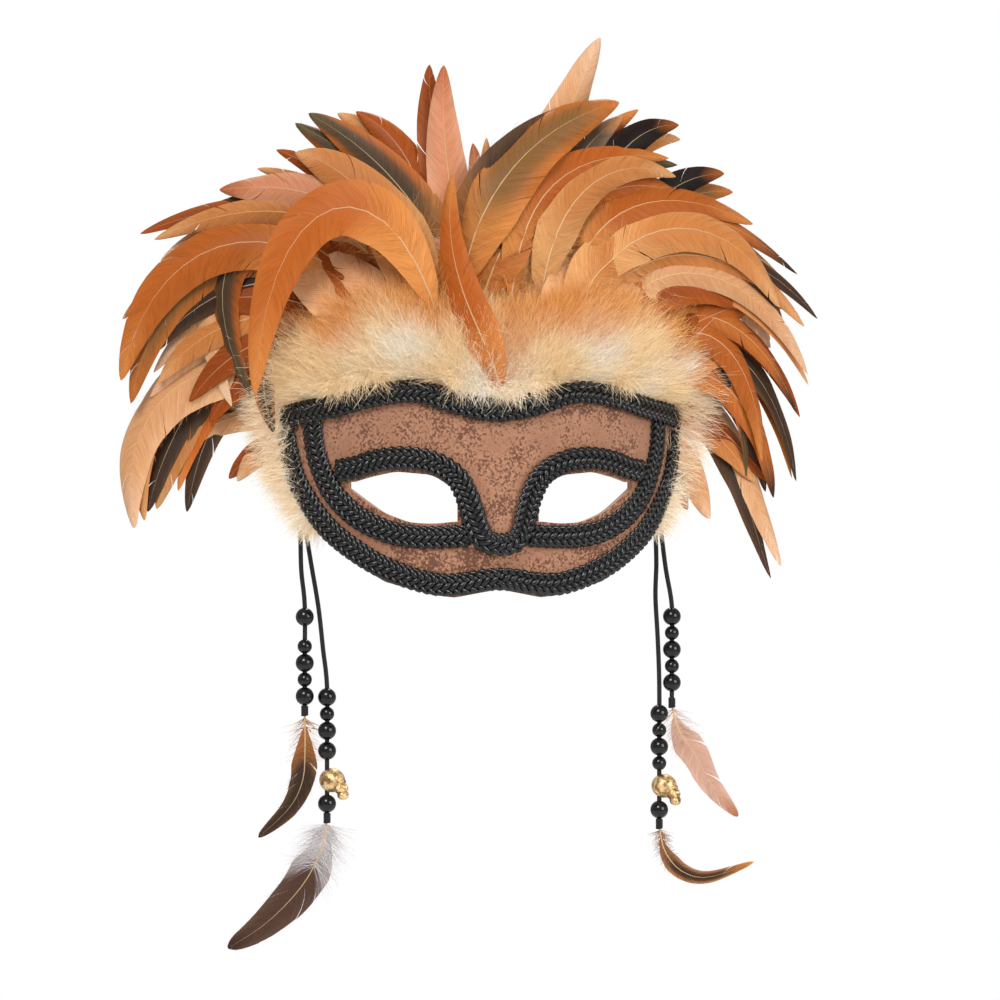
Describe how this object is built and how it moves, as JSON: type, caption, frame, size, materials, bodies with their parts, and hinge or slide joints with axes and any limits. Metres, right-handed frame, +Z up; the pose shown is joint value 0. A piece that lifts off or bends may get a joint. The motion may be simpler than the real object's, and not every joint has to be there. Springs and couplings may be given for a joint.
{
  "type": "venetian masquerade mask",
  "caption": "Curved eye mask in crackled faux suede edged with flat braids, crowned with a fan of cock feathers and down, with beaded cords hanging at both sides.",
  "frame": {"origin": "nose bridge on the midline at eye height, on the rear face of the lining", "axes": "+Z up, -Y out of the mask's front, +X to the right as seen from the front"},
  "size_m": [0.3047, 0.0702, 0.3893],
  "materials": {
    "shell": "moulded, matte",
    "suede": "crackled faux suede, soft nap",
    "lining": "fine black felt",
    "tape": "woven cotton tape",
    "braid": "glossy black leatherette, interlaced",
    "ginger_feather": "glossy barbs with a pale quill",
    "dark_feather": "dark brown barbs with an orange quill",
    "tan_feather": "pink tan barbs with a pale quill",
    "down": "loose white and cream down",
    "cord": "round waxed black cord",
    "bead": "polished black",
    "skull_gold": "antique gold lacquer"
  },
  "bodies": {
    "mask": {"mask_shell": "shell", "front_fabric": "suede", "back_lining": "lining", "plume_tape": "tape", "top_braid": "braid", "left_rim_braid": "braid", "right_rim_braid": "braid", "brow_braid": "braid", "left_cheek_braid": "braid", "right_cheek_braid": "braid", "left_side_plume": "dark_feather", "left_arch_plume": "ginger_feather", "left_fan_plume": "ginger_feather", "left_tall_plume": "ginger_feather", "right_tall_plume": "ginger_feather", "right_fan_plume": "ginger_feather", "right_arch_plume": "ginger_feather", "right_side_plume": "dark_feather", "left_down": "down", "centre_down": "down", "right_down": "down", "left_cord_anchor": "cord", "right_cord_anchor": "cord"},
    "left_knot": {"left_cord_knot": "cord"},
    "right_knot": {"right_cord_knot": "cord"},
    "strand_a": {"cord_a": "cord", "bead_a1": "bead", "bead_a2": "bead", "bead_a3": "bead", "bead_a4": "bead", "bead_a5": "bead", "binding_a": "cord"},
    "feather_a": {"feather_a": "dark_feather"},
    "strand_b": {"cord_b": "cord", "bead_b1": "bead", "bead_b2": "bead", "bead_b3": "bead", "bead_b4": "bead", "bead_b5": "bead", "binding_b": "cord"},
    "skull_b": {"skull_b": "skull_gold"},
    "feather_b": {"feather_b": "dark_feather"},
    "strand_c": {"cord_c": "cord", "bead_c1": "bead", "bead_c2": "bead", "bead_c3": "bead", "bead_c4": "bead", "bead_c5": "bead", "binding_c": "cord"},
    "skull_c": {"skull_c": "skull_gold"},
    "feather_c": {"feather_c": "dark_feather"},
    "strand_d": {"cord_d": "cord", "bead_d1": "bead", "bead_d2": "bead", "bead_d3": "bead", "bead_d4": "bead", "bead_d5": "bead", "binding_d": "cord"},
    "feather_d": {"feather_d": "tan_feather"}
  },
  "joints": [
    {"name": "left_knot_sway", "type": "hinge", "parent": "mask", "child": "left_knot", "pos_m": [-0.0776, 0.043, -0.012], "axis": [0, 1, 0], "range_deg": [-12, 35]},
    {"name": "right_knot_sway", "type": "hinge", "parent": "mask", "child": "right_knot", "pos_m": [0.0776, 0.043, -0.012], "axis": [0, 1, 0], "range_deg": [-35, 12]},
    {"name": "strand_a_swing", "type": "hinge", "parent": "left_knot", "child": "strand_a", "pos_m": [-0.0776, 0.043, -0.012], "axis": [1, 0, 0], "range_deg": [-60, 20]},
    {"name": "feather_a_twist", "type": "hinge", "parent": "strand_a", "child": "feather_a", "pos_m": [-0.0771, 0.043, -0.0924], "axis": [0, 0, 1], "range_deg": [-60, 60]},
    {"name": "strand_b_swing", "type": "hinge", "parent": "left_knot", "child": "strand_b", "pos_m": [-0.0776, 0.043, -0.012], "axis": [1, 0, 0], "range_deg": [-60, 20]},
    {"name": "feather_b_twist", "type": "hinge", "parent": "strand_b", "child": "feather_b", "pos_m": [-0.0675, 0.043, -0.1384], "axis": [0, 0, 1], "range_deg": [-60, 60]},
    {"name": "skull_b_turn", "type": "hinge", "parent": "strand_b", "child": "skull_b", "pos_m": [-0.0675, 0.043, -0.12], "axis": [0, 0, 1], "range_deg": [-60, 60]},
    {"name": "strand_c_swing", "type": "hinge", "parent": "right_knot", "child": "strand_c", "pos_m": [0.0776, 0.043, -0.012], "axis": [1, 0, 0], "range_deg": [-60, 20]},
    {"name": "feather_c_twist", "type": "hinge", "parent": "strand_c", "child": "feather_c", "pos_m": [0.0779, 0.043, -0.143], "axis": [0, 0, 1], "range_deg": [-60, 60]},
    {"name": "skull_c_turn", "type": "hinge", "parent": "strand_c", "child": "skull_c", "pos_m": [0.0779, 0.043, -0.1243], "axis": [0, 0, 1], "range_deg": [-60, 60]},
    {"name": "strand_d_swing", "type": "hinge", "parent": "right_knot", "child": "strand_d", "pos_m": [0.0776, 0.043, -0.012], "axis": [1, 0, 0], "range_deg": [-60, 20]},
    {"name": "feather_d_twist", "type": "hinge", "parent": "strand_d", "child": "feather_d", "pos_m": [0.0835, 0.043, -0.0904], "axis": [0, 0, 1], "range_deg": [-60, 60]}
  ]
}
